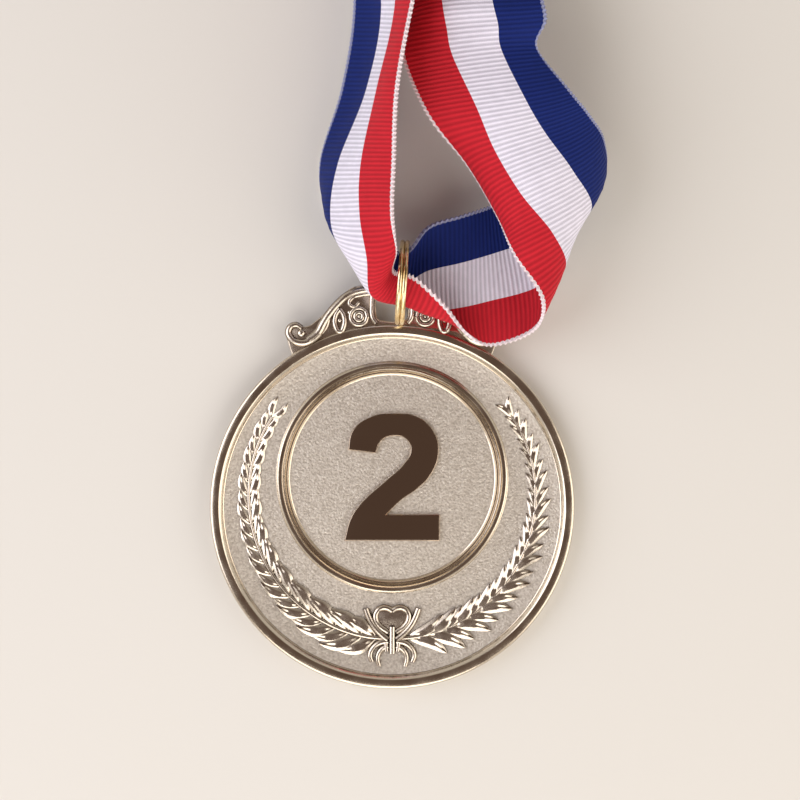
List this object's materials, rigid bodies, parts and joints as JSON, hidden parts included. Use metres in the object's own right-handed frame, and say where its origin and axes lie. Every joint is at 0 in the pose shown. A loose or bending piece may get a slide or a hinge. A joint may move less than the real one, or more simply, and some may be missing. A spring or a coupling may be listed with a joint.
{
  "type": "award medal",
  "caption": "Round silver-coloured award medal with a raised 2, laurel wreath and scrolled hanger, on a blue, white and red neck ribbon.",
  "frame": {"origin": "centre of the disc's flat back", "axes": "+Z out of the medal's face, +Y towards the hanger, +X to the right of the face"},
  "size_m": [0.0699, 0.2255, 0.0232],
  "materials": {
    "silver_casting": "sandblasted field, polished rim and relief, nickel plated",
    "brass_wire": "polished",
    "ribbon": "woven grosgrain, blue, white and red stripes",
    "thread": "twisted sewing thread"
  },
  "bodies": {
    "medal": {"medal_casting": "silver_casting"},
    "ring": {"split_ring": "brass_wire"},
    "ribbon": {"ribbon_left_strand": "ribbon", "ribbon_ring_fold": "ribbon", "ribbon_band": "ribbon", "ribbon_curl": "ribbon", "ribbon_right_strand": "ribbon", "ribbon_folded_pack": "ribbon", "ribbon_seam_lap": "ribbon", "seam_stitching": "thread"}
  },
  "joints": [
    {"name": "ring_turn", "type": "hinge", "parent": "medal", "child": "ring", "pos_m": [0.0018, 0.0396, 0.0023], "axis": [0, 0, 1], "range_deg": [-37, 4]},
    {"name": "ribbon_turn", "type": "hinge", "parent": "ring", "child": "ribbon", "pos_m": [0.0018, 0.0396, 0.0075], "axis": [0, 0, 1], "range_deg": [-12, 3]}
  ]
}
